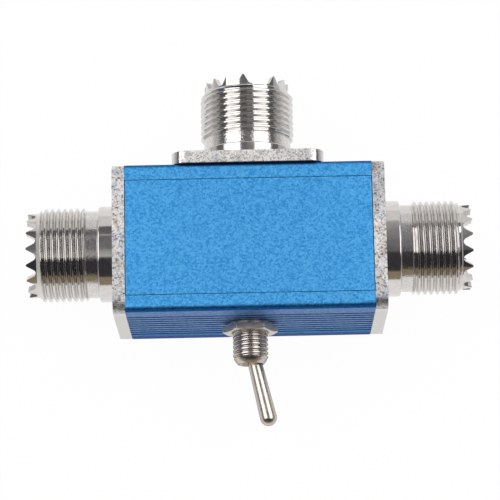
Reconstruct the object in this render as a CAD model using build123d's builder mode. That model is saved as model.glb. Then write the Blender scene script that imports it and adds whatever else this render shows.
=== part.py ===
from build123d import *
from math import cos, hypot, pi, radians, sin, sqrt, tan
import os

# Coaxial antenna switch. Three threaded coaxial ports stand on a square extruded
# box, and a toggle switch inside joins the centre port to the left or the right
# port. Millimetres and degrees. X runs from the left port to the right port, Y
# from the toggle to the centre port, Z up. The origin lies under the middle of
# the box, on the plane that the lower edges of the port flanges rest on.

os.makedirs("parts", exist_ok=True)

# ------------------------------------------------------------ driving dimensions

# Box: a channel with three walls and two lips, closed by a slide-in cover.
box_side = 25.0
box_length = 41.2
box_corner_radius = 1.0
box_wall = 1.5
rib_margin = 5.3
rib_count = 9
rib_groove_width = 0.6
rib_groove_depth = 0.35
screw_boss_side = 4.2
screw_boss_slot = 1.2
lip_thickness = 0.75
tongue_thickness = 0.7
tongue_reach = 0.9
cover_side_margin = 2.8
seam_gap = 0.1
slide_gap = 0.05
cover_end_recess = 0.1

# Coaxial port: one turned shell with a square flange, right-handed thread 5/8-24.
flange_overhang = 0.2
flange_thickness = 2.1
flange_corner_radius = 2.5
collar_radius = 8.15
collar_length = 2.75
collar_edge_radius = 0.3
neck_radius = 7.4
neck_length = 1.95
port_thread_radius = 7.94
port_thread_length = 8.35
nose_radius = 7.2
nose_length = 1.75
tooth_count = 16
tooth_land = 0.1
tooth_notch_apex = 2.2
tooth_valley_radius = 0.65
tooth_phase = {"left": 19.6, "right": 16.5, "centre": 18.4}
cup_radius = 6.1
cup_depth = 8.0
spigot_radius = 6.5
spigot_length = 1.5
spigot_clearance = 0.1

# Port insulator and centre contact.
insulator_radius = 4.8
insulator_face_thickness = 1.2
insulator_face_chamfer = 0.3
insulator_rear_reach = 2.0
insulator_rear_wall = 2.5
press_clearance = 0.02
contact_radius = 2.8
contact_bore_radius = 2.0
contact_bore_depth = 14.0
contact_recess = 1.2
contact_mouth_rounding = 0.4
contact_slot_width = 0.5
contact_slot_length = 7.0
solder_cup_radius = 1.5
solder_cup_bore_radius = 1.0
solder_cup_reach = 4.0
solder_cup_bore_depth = 3.5
solder_cup_window = 2.8

# Countersunk M3 screws, four on each flange.
screw_radius = 1.5
screw_head_radius = 2.75
screw_edge_distance = 3.57
countersink_angle = 90
corner_turn = 45
screw_hole_clearance = 0.1
end_screw_length = 8.0
centre_screw_length = 5.0
drive_recess_span = 2.4
drive_recess_width = 0.6
drive_recess_depth = 1.0

# Toggle switch: bushing M6 x 0.75, hex nut outside, lock washer inside.
toggle_x = -0.15
bushing_radius = 2.97
bushing_reach = 7.0
bushing_mouth_chamfer = 0.8
bushing_hole_clearance = 0.13
nut_across_flats = 8.2
nut_sides = 6
nut_thickness = 1.7
nut_chamfer = 0.35
nut_chamfer_angle = 30
washer_radius = 4.6
washer_thickness = 0.5
washer_tooth_count = 10
washer_tooth_notch = 0.8
washer_tooth_depth = 0.6
frame_thickness = 0.6
frame_leg_thickness = 0.4
frame_leg_width = 6.0
frame_tab_length = 1.0
bushing_foot_wall = 0.35

# Toggle case and its three solder terminals.
case_length = 13.2
case_width = 7.1
case_wall = 0.9
case_floor = 1.4
terminal_edge_distance = 1.9
terminal_to_port_gap = 1.7
terminal_thickness = 0.8
terminal_width = 2.0
terminal_reach = 4.1
terminal_shoulder_thickness = 0.6
terminal_shoulder_overhang = 0.4
terminal_hole_radius = 0.6
terminal_hole_inset = 1.1
terminal_end_radius = 0.6
contact_dome_radius = 1.0

# Lever, which tilts on a ball with two trunnions, and its sprung plunger.
lever_throw = 12.6
pivot_depth = 3.3
ball_radius = 2.2
ball_clearance = 0.05
seat_lip_height = 1.65
lever_clearance = 0.14
lever_neck_length = 2.4
lever_neck_runout = 0.4
lever_root_radius = 1.2
lever_tip_radius = 1.42
lever_length = 14.1
trunnion_radius = 0.5
trunnion_reach = 2.6
trunnion_clearance = 0.02
arm_radius = 0.95
plunger_radius = 0.55
plunger_length = 5.9
plunger_exposed_length = 3.3
plunger_floor_gap = 2.5
plunger_bore_clearance = 0.05
plunger_bore_depth = 4.8
spring_wire_radius = 0.09
spring_turns = 7
spring_end_gap = 0.02

# Rocker contact, a shallow V that tips on the common terminal.
rocker_tilt = 8.0
rocker_thickness = 0.4
rocker_width = 3.0
rocker_end_gap = 0.7
rocker_apex_height = 0.5
rocker_knuckle_radius = 0.5
rocker_knuckle_clearance = 0.04
saddle_side_wall = 0.5
plunger_gap = 0.1
contact_gap = 0.04

# Hook-up wires and their solder.
wire_radius = 0.45
wire_gap = 0.08
wire_entry = 2.6
wire_tail = 1.0
wire_arc_share = 0.45
end_wire_straight = 2.7
end_wire_landing = 1.8
centre_wire_landing = 2.4
centre_wire_lap = 2.4
solder_fillet = 0.5
solder_inset = 1.0
solder_lap_length = 1.3
solder_lap_depth = 1.1

# ------------------------------------------------------------ places worked out

box_top = box_side / 2
flange_side = box_side + 2 * flange_overhang
centre_height = flange_side / 2
screw_pitch = flange_side - 2 * screw_edge_distance
screw_circle = hypot(screw_pitch, screw_pitch) / 2
screw_head_height = (screw_head_radius - screw_radius) / tan(radians(countersink_angle) / 2)
tapped_radius = screw_radius + press_clearance
rib_pitch = (box_side - 2 * rib_margin) / (rib_count - 1)
cover_face_width = box_side - 2 * cover_side_margin
cover_thickness = lip_thickness + slide_gap + tongue_thickness
cover_opening = cover_face_width + 2 * seam_gap
tongue_span = cover_face_width + 2 * tongue_reach

collar_end = flange_thickness + collar_length
neck_end = collar_end + neck_length
port_thread_end = neck_end + port_thread_length
port_thread_lead_in = port_thread_radius - nose_radius
nose_end = port_thread_end + nose_length
cup_floor = nose_end - cup_depth
insulator_face = cup_floor + insulator_face_thickness
insulator_rear = -(spigot_length + insulator_rear_reach)
contact_shoulder = insulator_rear + insulator_rear_wall
contact_mouth = nose_end - contact_recess
solder_cup_end = insulator_rear - solder_cup_reach

wall_inside = -box_wall
frame_top = wall_inside - washer_thickness
case_top = frame_top - frame_thickness
terminal_end = terminal_to_port_gap - solder_cup_end - box_side
terminal_hole = terminal_end + terminal_hole_inset
case_bottom = terminal_end + terminal_reach
case_depth = case_top - case_bottom
case_floor_top = case_bottom + case_floor
terminal_pitch = case_length / 2 - terminal_edge_distance
pivot = bushing_reach - pivot_depth
plunger_reach = pivot - case_floor_top - plunger_floor_gap
arm_length = plunger_reach - plunger_exposed_length
rocker_half_length = case_length / 2 - case_wall - rocker_end_gap

throw = radians(lever_throw)
ball_seat_radius = ball_radius + ball_clearance
seat_lip_radius = sqrt(ball_seat_radius**2 - seat_lip_height**2)
lever_neck_radius = (seat_lip_radius - lever_clearance) * cos(throw) - seat_lip_height * sin(throw)
mouth_radius = pivot_depth * tan(throw) + lever_root_radius / cos(throw) + lever_clearance
foot_radius = (pivot - case_top) * tan(throw) + arm_radius / cos(throw) + lever_clearance
bushing_foot_radius = foot_radius + bushing_foot_wall

# The rocker stands so that the plunger meets the lowered arm squarely.
rocker_rise = radians(lever_throw + rocker_tilt)
rocker_slope = tan(rocker_rise)
plunger_to_arm = plunger_reach + plunger_gap
rocker_depth = (plunger_to_arm + rocker_apex_height * cos(rocker_rise)) / cos(throw)
rocker_hinge = pivot - rocker_depth
dome_distance = plunger_to_arm + rocker_thickness + contact_gap + contact_dome_radius
dome_depth = (dome_distance - terminal_pitch * sin(throw)) / cos(throw)
dome_centre = pivot - dome_depth


def outward_plane(x, y, direction):
    """A plane on the box wall at x, y whose local Z points outward and local Y up."""
    outward = Vector(*direction)
    return Plane(origin=(x, y, centre_height), x_dir=Vector(0, 0, 1).cross(outward), z_dir=outward)


def profile_plane(plane):
    """A plane through a port's or the toggle's axis: local X outward, local Y up."""
    return Plane(origin=plane.origin, x_dir=plane.z_dir, z_dir=-plane.x_dir)


section = Plane(origin=(0, 0, centre_height), x_dir=(0, 1, 0), z_dir=(1, 0, 0))
ports = {
    "left": outward_plane(-box_length / 2, 0, (-1, 0, 0)),
    "right": outward_plane(box_length / 2, 0, (1, 0, 0)),
    "centre": outward_plane(0, box_side / 2, (0, 1, 0)),
}
toggle = outward_plane(toggle_x, -box_side / 2, (0, -1, 0))
toggle_profile = profile_plane(toggle)
toggle_axis = Axis(toggle.origin, toggle.z_dir)

# ------------------------------------------------------------------------- box

with BuildPart() as main_channel:
    with BuildSketch(section):
        RectangleRounded(box_side, box_side, box_corner_radius)
        Rectangle(box_side - 2 * box_wall, box_side - 2 * box_wall, mode=Mode.SUBTRACT)
        with GridLocations(screw_pitch, screw_pitch, 2, 2):
            Rectangle(screw_boss_side, screw_boss_side)
        with Locations((0, box_top)):
            Rectangle(cover_opening, 2 * (cover_thickness + slide_gap), mode=Mode.SUBTRACT)
        with Locations((0, box_top - lip_thickness)):
            Rectangle(
                tongue_span + 2 * slide_gap,
                tongue_thickness + 2 * slide_gap,
                align=(Align.CENTER, Align.MAX),
                mode=Mode.SUBTRACT,
            )
        with PolarLocations(screw_circle, 4, start_angle=corner_turn):
            Circle(tapped_radius, mode=Mode.SUBTRACT)
            Rectangle(
                screw_boss_side,
                screw_boss_slot,
                align=(Align.MAX, Align.CENTER),
                mode=Mode.SUBTRACT,
            )
        with GridLocations(box_side, rib_pitch, 2, rib_count):
            Rectangle(2 * rib_groove_depth, rib_groove_width, mode=Mode.SUBTRACT)
    extrude(amount=box_length / 2, both=True)
    with BuildSketch(toggle):
        Circle(bushing_radius + bushing_hole_clearance)
    extrude(amount=-2 * box_wall, mode=Mode.SUBTRACT)
    with BuildSketch(ports["centre"]):
        Circle(spigot_radius + spigot_clearance)
    extrude(amount=-2 * box_wall, mode=Mode.SUBTRACT)
    with BuildSketch(ports["centre"]):
        with GridLocations(screw_pitch, screw_pitch, 2, 2):
            Circle(tapped_radius)
    extrude(amount=flange_thickness - centre_screw_length - slide_gap, mode=Mode.SUBTRACT)
main_channel.part.label = "main_channel"
export_step(main_channel.part, "parts/main_channel.step")

with BuildPart() as slide_cover:
    with BuildSketch(section):
        with Locations((0, box_top)):
            Rectangle(cover_face_width, cover_thickness, align=(Align.CENTER, Align.MAX))
        with Locations((0, box_top - cover_thickness)):
            Rectangle(tongue_span, tongue_thickness, align=(Align.CENTER, Align.MIN))
    extrude(amount=box_length / 2 - cover_end_recess, both=True)
slide_cover.part.label = "slide_cover"
export_step(slide_cover.part, "parts/slide_cover.step")

# ----------------------------------------------------------------- coaxial ports

notch_half_width = (2 * pi * nose_radius / tooth_count - tooth_land) / 2


def notch_planes(port, phase):
    """One plane for each notch between two teeth: local X along the port, local Z radial."""
    rim = port.from_local_coords(Vector(0, 0, nose_end))
    step = 360 / tooth_count
    planes = []
    for tooth in range(tooth_count):
        turn = radians(phase + (tooth + 0.5) * step)
        radial = port.x_dir * cos(turn) + port.y_dir * sin(turn)
        planes.append(Plane(origin=rim, x_dir=port.z_dir, z_dir=radial))
    return planes


for side, port in ports.items():
    port_axis = Axis(port.origin, port.z_dir)
    port_profile = profile_plane(port)
    flange_face = port.offset(flange_thickness)

    with BuildPart() as shell:
        with BuildSketch(port_profile):
            with BuildLine():
                Polyline(
                    (-spigot_length, insulator_radius),
                    (-spigot_length, spigot_radius),
                    (flange_thickness, spigot_radius),
                    (flange_thickness, collar_radius),
                    (collar_end - collar_edge_radius, collar_radius),
                )
                RadiusArc(
                    (collar_end - collar_edge_radius, collar_radius),
                    (collar_end, collar_radius - collar_edge_radius),
                    collar_edge_radius,
                )
                Polyline(
                    (collar_end, collar_radius - collar_edge_radius),
                    (collar_end, neck_radius),
                    (neck_end, neck_radius),
                    (neck_end, port_thread_radius),
                    (port_thread_end - port_thread_lead_in, port_thread_radius),
                    (port_thread_end, nose_radius),
                    (nose_end, nose_radius),
                    (nose_end, cup_radius),
                    (cup_floor, cup_radius),
                    (cup_floor, insulator_radius),
                    (-spigot_length, insulator_radius),
                )
            make_face()
        revolve(axis=port_axis)
        with BuildSketch(port):
            RectangleRounded(flange_side, flange_side, flange_corner_radius)
            Circle(insulator_radius, mode=Mode.SUBTRACT)
        extrude(amount=flange_thickness)
        with Locations(flange_face):
            with GridLocations(screw_pitch, screw_pitch, 2, 2):
                CounterSinkHole(
                    screw_radius + screw_hole_clearance,
                    screw_head_radius,
                    depth=flange_thickness,
                    counter_sink_angle=countersink_angle,
                )
        with BuildSketch(*notch_planes(port, tooth_phase[side])) as notch:
            with BuildLine():
                Polyline(
                    (tooth_notch_apex, notch_half_width),
                    (0, notch_half_width),
                    (-tooth_notch_apex, 0),
                    (0, -notch_half_width),
                    (tooth_notch_apex, -notch_half_width),
                    close=True,
                )
            make_face()
            fillet(notch.vertices().sort_by(Axis.X)[0], tooth_valley_radius)
        extrude(amount=nose_radius + tooth_land, mode=Mode.SUBTRACT)
    shell.part.label = f"{side}_port_shell"
    export_step(shell.part, f"parts/{side}_port_shell.step")

    with BuildPart() as insulator:
        with BuildSketch(port_profile):
            with BuildLine():
                Polyline(
                    (insulator_rear, solder_cup_radius + press_clearance),
                    (insulator_rear, insulator_radius - press_clearance),
                    (cup_floor, insulator_radius - press_clearance),
                    (cup_floor, cup_radius - press_clearance),
                    (insulator_face - insulator_face_chamfer, cup_radius - press_clearance),
                    (insulator_face, cup_radius - press_clearance - insulator_face_chamfer),
                    (insulator_face, contact_radius + press_clearance),
                    (contact_shoulder, contact_radius + press_clearance),
                    (contact_shoulder, solder_cup_radius + press_clearance),
                    close=True,
                )
            make_face()
        revolve(axis=port_axis)
    insulator.part.label = f"{side}_port_insulator"
    export_step(insulator.part, f"parts/{side}_port_insulator.step")

    with BuildPart() as contact:
        with BuildSketch(port.offset(contact_shoulder)):
            Circle(contact_radius)
        extrude(amount=contact_mouth - contact_shoulder)
        fillet(contact.edges().group_by(port_axis)[-1], contact_mouth_rounding)
        with BuildSketch(port.offset(solder_cup_end)):
            Circle(solder_cup_radius)
        extrude(amount=contact_shoulder - solder_cup_end)
        with BuildSketch(port.offset(contact_mouth)):
            Circle(contact_bore_radius)
        extrude(amount=-contact_bore_depth, mode=Mode.SUBTRACT)
        with BuildSketch(port.offset(contact_mouth)):
            Rectangle(2 * contact_radius, contact_slot_width)
            Rectangle(contact_slot_width, 2 * contact_radius)
        extrude(amount=-contact_slot_length, mode=Mode.SUBTRACT)
        with BuildSketch(port.offset(solder_cup_end)):
            Circle(solder_cup_bore_radius)
        extrude(amount=solder_cup_bore_depth, mode=Mode.SUBTRACT)
        with BuildSketch(port.offset(solder_cup_end)):
            Rectangle(
                2 * solder_cup_radius,
                solder_cup_radius,
                align=(Align.CENTER, Align.MIN),
            )
        extrude(amount=solder_cup_window, mode=Mode.SUBTRACT)
    contact.part.label = f"{side}_port_contact"
    export_step(contact.part, f"parts/{side}_port_contact.step")

    screw_length = centre_screw_length if side == "centre" else end_screw_length
    with BuildPart() as screws:
        with Locations(flange_face):
            with PolarLocations(screw_circle, 4, start_angle=corner_turn):
                Cylinder(
                    screw_radius,
                    screw_length,
                    align=(Align.CENTER, Align.CENTER, Align.MAX),
                )
                Cone(
                    screw_radius,
                    screw_head_radius,
                    screw_head_height,
                    align=(Align.CENTER, Align.CENTER, Align.MAX),
                )
                Box(
                    drive_recess_span,
                    drive_recess_width,
                    2 * drive_recess_depth,
                    mode=Mode.SUBTRACT,
                )
                Box(
                    drive_recess_width,
                    drive_recess_span,
                    2 * drive_recess_depth,
                    mode=Mode.SUBTRACT,
                )
    screws.part.label = f"{side}_flange_screws"
    export_step(screws.part, f"parts/{side}_flange_screws.step")

# ------------------------------------------------- toggle bushing, nut and washer

with BuildPart() as toggle_bushing:
    with BuildSketch(toggle_profile):
        with BuildLine():
            Polyline(
                (pivot + seat_lip_height, seat_lip_radius),
                (bushing_reach, mouth_radius),
                (bushing_reach, bushing_radius - bushing_mouth_chamfer),
                (bushing_reach - bushing_mouth_chamfer, bushing_radius),
                (frame_top, bushing_radius),
                (frame_top, bushing_foot_radius),
                (case_top, bushing_foot_radius),
                (case_top, foot_radius),
                (0, ball_seat_radius),
                (pivot, ball_seat_radius),
            )
            RadiusArc(
                (pivot, ball_seat_radius),
                (pivot + seat_lip_height, seat_lip_radius),
                ball_seat_radius,
            )
        make_face()
    revolve(axis=toggle_axis)
    with BuildSketch(toggle.offset(case_top)):
        Rectangle(
            2 * (trunnion_radius + trunnion_clearance),
            2 * (trunnion_reach + ball_clearance),
        )
    extrude(amount=pivot - case_top, mode=Mode.SUBTRACT)
    with BuildSketch(Plane(origin=toggle.from_local_coords(Vector(0, 0, pivot)))):
        Circle(trunnion_radius + trunnion_clearance)
    extrude(amount=trunnion_reach + ball_clearance, both=True, mode=Mode.SUBTRACT)
toggle_bushing.part.label = "toggle_bushing"
export_step(toggle_bushing.part, "parts/toggle_bushing.step")

nut_corner_radius = nut_across_flats / (2 * cos(pi / nut_sides))
nut_face_radius = nut_corner_radius - nut_chamfer / tan(radians(nut_chamfer_angle))
with BuildPart() as hex_nut:
    with BuildSketch(toggle):
        RegularPolygon(nut_across_flats / 2, nut_sides, major_radius=False)
        Circle(bushing_radius + press_clearance, mode=Mode.SUBTRACT)
    extrude(amount=nut_thickness)
    with BuildSketch(toggle_profile):
        with BuildLine():
            Polyline(
                (0, 0),
                (0, nut_face_radius),
                (nut_chamfer, nut_corner_radius),
                (nut_thickness - nut_chamfer, nut_corner_radius),
                (nut_thickness, nut_face_radius),
                (nut_thickness, 0),
                close=True,
            )
        make_face()
    revolve(axis=toggle_axis, mode=Mode.INTERSECT)
hex_nut.part.label = "hex_nut"
export_step(hex_nut.part, "parts/hex_nut.step")

with BuildPart() as lock_washer:
    with BuildSketch(toggle.offset(frame_top)):
        Circle(washer_radius)
        Circle(bushing_radius + bushing_hole_clearance, mode=Mode.SUBTRACT)
        with PolarLocations(bushing_radius, washer_tooth_count):
            Rectangle(2 * washer_tooth_depth, washer_tooth_notch, mode=Mode.SUBTRACT)
    extrude(amount=washer_thickness)
lock_washer.part.label = "lock_washer"
export_step(lock_washer.part, "parts/lock_washer.step")

# ------------------------------------------------------- toggle frame, case, tags

with BuildPart() as toggle_frame:
    with BuildSketch(toggle.offset(case_top)):
        Rectangle(case_length, case_width + 2 * frame_leg_thickness)
        Circle(bushing_foot_radius, mode=Mode.SUBTRACT)
    extrude(amount=frame_thickness)
    with BuildSketch(toggle.offset(case_bottom - frame_leg_thickness)):
        with GridLocations(0, case_width + frame_leg_thickness, 1, 2):
            Rectangle(frame_leg_width, frame_leg_thickness)
    extrude(amount=case_depth + frame_leg_thickness)
    with BuildSketch(toggle.offset(case_bottom - frame_leg_thickness)):
        with GridLocations(0, case_width - frame_tab_length, 1, 2):
            Rectangle(frame_leg_width, frame_tab_length)
    extrude(amount=frame_leg_thickness)
toggle_frame.part.label = "toggle_frame"
export_step(toggle_frame.part, "parts/toggle_frame.step")

with BuildPart() as toggle_case:
    with BuildSketch(toggle.offset(case_bottom)):
        Rectangle(case_length, case_width)
    extrude(amount=case_depth)
    with BuildSketch(toggle.offset(case_top)):
        Rectangle(case_length - 2 * case_wall, case_width - 2 * case_wall)
    extrude(amount=-(case_depth - case_floor), mode=Mode.SUBTRACT)
    with BuildSketch(toggle.offset(case_bottom)):
        with GridLocations(terminal_pitch, 0, 3, 1):
            Rectangle(
                terminal_thickness + 2 * press_clearance,
                terminal_width + 2 * press_clearance,
            )
    extrude(amount=case_floor, mode=Mode.SUBTRACT)
toggle_case.part.label = "toggle_case"
export_step(toggle_case.part, "parts/toggle_case.step")

saddle_half_length = rocker_knuckle_radius + rocker_knuckle_clearance + saddle_side_wall
terminal_places = {
    "left": (-terminal_pitch, dome_centre),
    "common": (0, rocker_hinge),
    "right": (terminal_pitch, dome_centre),
}
for side, (terminal_x, top) in terminal_places.items():
    with BuildPart() as terminal:
        with BuildSketch(toggle.offset(terminal_end)):
            with Locations((terminal_x, 0)):
                Rectangle(terminal_thickness, terminal_width)
        extrude(amount=top - terminal_end)
        tip_edges = terminal.edges().filter_by(Axis.X).group_by(Axis.Y)[-1]
        fillet(tip_edges, terminal_end_radius)
        with BuildSketch(toggle.offset(case_floor_top)):
            with Locations((terminal_x, 0)):
                Rectangle(
                    terminal_thickness + 2 * terminal_shoulder_overhang,
                    terminal_width + 2 * terminal_shoulder_overhang,
                )
        extrude(amount=terminal_shoulder_thickness)
        hole_centre = toggle.from_local_coords(Vector(terminal_x, 0, terminal_hole))
        with BuildSketch(Plane(origin=hole_centre, x_dir=(0, 1, 0), z_dir=(1, 0, 0))):
            Circle(terminal_hole_radius)
        extrude(amount=terminal_thickness, both=True, mode=Mode.SUBTRACT)
        head_centre = toggle.from_local_coords(Vector(terminal_x, 0, top))
        if side == "common":
            with BuildSketch(toggle.offset(case_floor_top)):
                with Locations((terminal_x, 0)):
                    Rectangle(2 * saddle_half_length, terminal_width)
            extrude(amount=top - case_floor_top)
            with BuildSketch(Plane(origin=head_centre)):
                Circle(rocker_knuckle_radius + rocker_knuckle_clearance)
            extrude(amount=terminal_width, both=True, mode=Mode.SUBTRACT)
        else:
            with Locations(head_centre):
                Sphere(contact_dome_radius)
    terminal.part.label = f"{side}_terminal"
    export_step(terminal.part, f"parts/{side}_terminal.step")

# ------------------------------------------------------- lever, plunger, spring

pivot_point = toggle.from_local_coords(Vector(0, 0, pivot))
lever_direction = Vector(sin(throw), -cos(throw), 0)
lever_axis = Axis(pivot_point, lever_direction)
lever_profile = Plane(
    origin=pivot_point, x_dir=lever_direction, z_dir=lever_direction.cross(Vector(0, 0, 1))
)
tip_centre = lever_length - lever_tip_radius
ball_below = sqrt(ball_radius**2 - arm_radius**2)
ball_above = sqrt(ball_radius**2 - lever_neck_radius**2)
plunger_bore_radius = plunger_radius + plunger_bore_clearance


def lever_plane(distance):
    """A plane square to the lever, at a distance from the pivot, facing outward."""
    return Plane(origin=pivot_point + lever_direction * distance, z_dir=lever_direction)


with BuildPart() as toggle_lever:
    with BuildSketch(lever_profile):
        with BuildLine():
            Polyline((-arm_length, 0), (-arm_length, arm_radius), (-ball_below, arm_radius))
            ThreePointArc(
                (-ball_below, arm_radius), (0, ball_radius), (ball_above, lever_neck_radius)
            )
            Polyline(
                (ball_above, lever_neck_radius),
                (lever_neck_length, lever_neck_radius),
                (lever_neck_length + lever_neck_runout, lever_root_radius),
                (tip_centre, lever_tip_radius),
            )
            RadiusArc((tip_centre, lever_tip_radius), (lever_length, 0), lever_tip_radius)
            Line((lever_length, 0), (-arm_length, 0))
        make_face()
    revolve(axis=lever_axis)
    with BuildSketch(Plane(origin=pivot_point)):
        Circle(trunnion_radius)
    extrude(amount=trunnion_reach, both=True)
    with BuildSketch(lever_plane(-arm_length)):
        Circle(plunger_bore_radius)
    extrude(amount=plunger_bore_depth, mode=Mode.SUBTRACT)
toggle_lever.part.label = "toggle_lever"
export_step(toggle_lever.part, "parts/toggle_lever.step")

plunger_inner_end = -plunger_reach + plunger_length
with BuildPart() as plunger:
    with BuildSketch(lever_plane(-plunger_reach + plunger_radius)):
        Circle(plunger_radius)
    extrude(amount=plunger_length - plunger_radius)
    with Locations(lever_plane(-plunger_reach + plunger_radius)):
        Sphere(plunger_radius)
plunger.part.label = "plunger"
export_step(plunger.part, "parts/plunger.step")

spring_start = plunger_inner_end + spring_wire_radius + spring_end_gap
spring_end = plunger_bore_depth - arm_length - spring_wire_radius - spring_end_gap
spring_length = spring_end - spring_start
spring_coil_radius = plunger_radius - spring_wire_radius
with BuildPart() as plunger_spring:
    with BuildLine() as coil:
        Helix(
            spring_length / spring_turns,
            spring_length,
            spring_coil_radius,
            center=pivot_point + lever_direction * spring_start,
            direction=lever_direction,
        )
    with BuildSketch(Plane(origin=coil.line @ 0, z_dir=coil.line % 0)):
        Circle(spring_wire_radius)
    sweep(path=coil.line, is_frenet=True)
plunger_spring.part.label = "plunger_spring"
export_step(plunger_spring.part, "parts/plunger_spring.step")

# ----------------------------------------------------------------------- rocker

tilt = radians(rocker_tilt)
hinge_point = toggle.from_local_coords(Vector(0, 0, rocker_hinge))
rocker_plane = Plane(origin=hinge_point, x_dir=(cos(tilt), -sin(tilt), 0), z_dir=(0, 0, 1))
arm_end = -rocker_apex_height - rocker_half_length * rocker_slope
arm_end_inset = rocker_thickness * sin(rocker_rise)
arm_end_under = arm_end + rocker_thickness * cos(rocker_rise)

with BuildPart() as rocker_contact:
    with BuildSketch(rocker_plane):
        with BuildLine():
            Polyline(
                (-rocker_half_length, arm_end),
                (0, -rocker_apex_height),
                (rocker_half_length, arm_end),
                (rocker_half_length + arm_end_inset, arm_end_under),
                (0, rocker_thickness / cos(rocker_rise) - rocker_apex_height),
                (-rocker_half_length - arm_end_inset, arm_end_under),
                close=True,
            )
        make_face()
    extrude(amount=rocker_width / 2, both=True)
    with BuildSketch(rocker_plane):
        Circle(rocker_knuckle_radius)
    extrude(amount=terminal_width / 2, both=True)
rocker_contact.part.label = "rocker_contact"
export_step(rocker_contact.part, "parts/rocker_contact.step")

# ------------------------------------------------------- hook-up wires and solder


def axis_point(plane, distance, x=0):
    """A point at a distance outward of a wall plane, x to the side of its axis."""
    return plane.from_local_coords(Vector(x, 0, distance))


lap_x = terminal_thickness / 2 + wire_radius + wire_gap
wire_routes = {}
for side, turn in (("left", 1), ("right", -1)):
    tag = axis_point(toggle, terminal_hole, -turn * terminal_pitch)
    cup = axis_point(ports[side], solder_cup_end)
    reach = Vector(turn, 0, 0)
    wire_routes[side] = [
        cup - reach * wire_entry,
        cup + reach * end_wire_straight,
        tag - reach * (terminal_thickness / 2 + end_wire_landing),
        tag + reach * (terminal_thickness / 2 + wire_tail),
    ]
cup = axis_point(ports["centre"], solder_cup_end)
lap_end = axis_point(toggle, terminal_end + centre_wire_lap, lap_x)
wire_routes["centre"] = [
    cup + Vector(0, wire_entry, 0),
    cup,
    lap_end + Vector(0, centre_wire_landing, 0),
    lap_end,
]

for side, route in wire_routes.items():
    runs = [(b - a).length for a, b in zip(route, route[1:])]
    turns = [(b - a).get_angle(c - b) for a, b, c in zip(route, route[1:], route[2:])]
    radii = [
        wire_arc_share * min(before, after) / tan(radians(angle / 2))
        for before, after, angle in zip(runs, runs[1:], turns)
    ]
    print(side, "wire bend radii", [round(radius, 2) for radius in radii])
    with BuildPart() as wire:
        with BuildLine() as path:
            FilletPolyline(*route, radius=radii)
        with BuildSketch(Plane(origin=path.line @ 0, z_dir=path.line % 0)):
            Circle(wire_radius)
        sweep(path=path.line)
    wire.part.label = f"{side}_wire"
    export_step(wire.part, f"parts/{side}_wire.step")

with BuildPart() as solder_joints:
    for port in ports.values():
        with BuildSketch(port.offset(solder_cup_end + solder_inset)):
            Circle(solder_cup_bore_radius - press_clearance)
            Circle(wire_radius + press_clearance, mode=Mode.SUBTRACT)
        extrude(amount=wire_entry - solder_inset)
    for side in (-1, 1):
        tag = axis_point(toggle, terminal_hole, side * terminal_pitch)
        solder_hole = wire_radius + press_clearance
        tag_face = terminal_thickness / 2 + press_clearance
        fillet_end = tag_face + solder_fillet
        with BuildSketch(Plane(origin=tag, x_dir=(1, 0, 0), z_dir=(0, 0, 1))):
            with BuildLine():
                Polyline(
                    (-fillet_end, solder_hole),
                    (-tag_face, solder_hole + solder_fillet),
                    (-tag_face, terminal_hole_radius - press_clearance),
                    (tag_face, terminal_hole_radius - press_clearance),
                    (tag_face, solder_hole + solder_fillet),
                    (fillet_end, solder_hole),
                    close=True,
                )
            make_face()
        revolve(axis=Axis(tag, (1, 0, 0)))
    lap = axis_point(toggle, terminal_end + centre_wire_lap, terminal_thickness / 2)
    with BuildSketch(Plane(origin=lap, x_dir=(1, 0, 0), z_dir=(0, 1, 0))):
        Rectangle(solder_lap_depth, terminal_width, align=(Align.MIN, Align.CENTER))
        with Locations((lap_x - terminal_thickness / 2, 0)):
            Circle(wire_radius + press_clearance, mode=Mode.SUBTRACT)
    extrude(amount=solder_lap_length)
solder_joints.part.label = "solder_joints"
export_step(solder_joints.part, "parts/solder_joints.step")
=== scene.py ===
import math
from types import SimpleNamespace

import bmesh
import bpy
from bpy.props import FloatProperty, FloatVectorProperty, IntProperty, PointerProperty
from bpy.types import Operator, Panel, PropertyGroup
from mathutils import Matrix, Vector, noise


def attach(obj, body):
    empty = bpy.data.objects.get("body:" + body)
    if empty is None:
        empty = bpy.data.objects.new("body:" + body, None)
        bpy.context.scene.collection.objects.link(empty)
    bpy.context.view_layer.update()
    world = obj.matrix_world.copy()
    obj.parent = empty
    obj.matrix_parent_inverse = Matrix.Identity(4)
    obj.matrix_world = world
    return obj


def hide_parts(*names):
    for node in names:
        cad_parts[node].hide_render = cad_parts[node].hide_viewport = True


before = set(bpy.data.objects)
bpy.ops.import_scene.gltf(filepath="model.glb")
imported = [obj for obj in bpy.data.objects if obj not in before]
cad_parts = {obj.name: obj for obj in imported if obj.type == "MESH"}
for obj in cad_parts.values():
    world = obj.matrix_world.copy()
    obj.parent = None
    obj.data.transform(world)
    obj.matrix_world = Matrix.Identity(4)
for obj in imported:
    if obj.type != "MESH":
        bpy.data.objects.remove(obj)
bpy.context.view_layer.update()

bl_info = {
    "name": "Coaxial antenna switch",
    "version": (1, 0, 0),
    "blender": (4, 5, 0),
    "location": "3D View > Sidebar > Antenna switch",
    "description": "Builds the visible pieces of a three-port coaxial antenna switch",
    "category": "Object",
}

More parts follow.
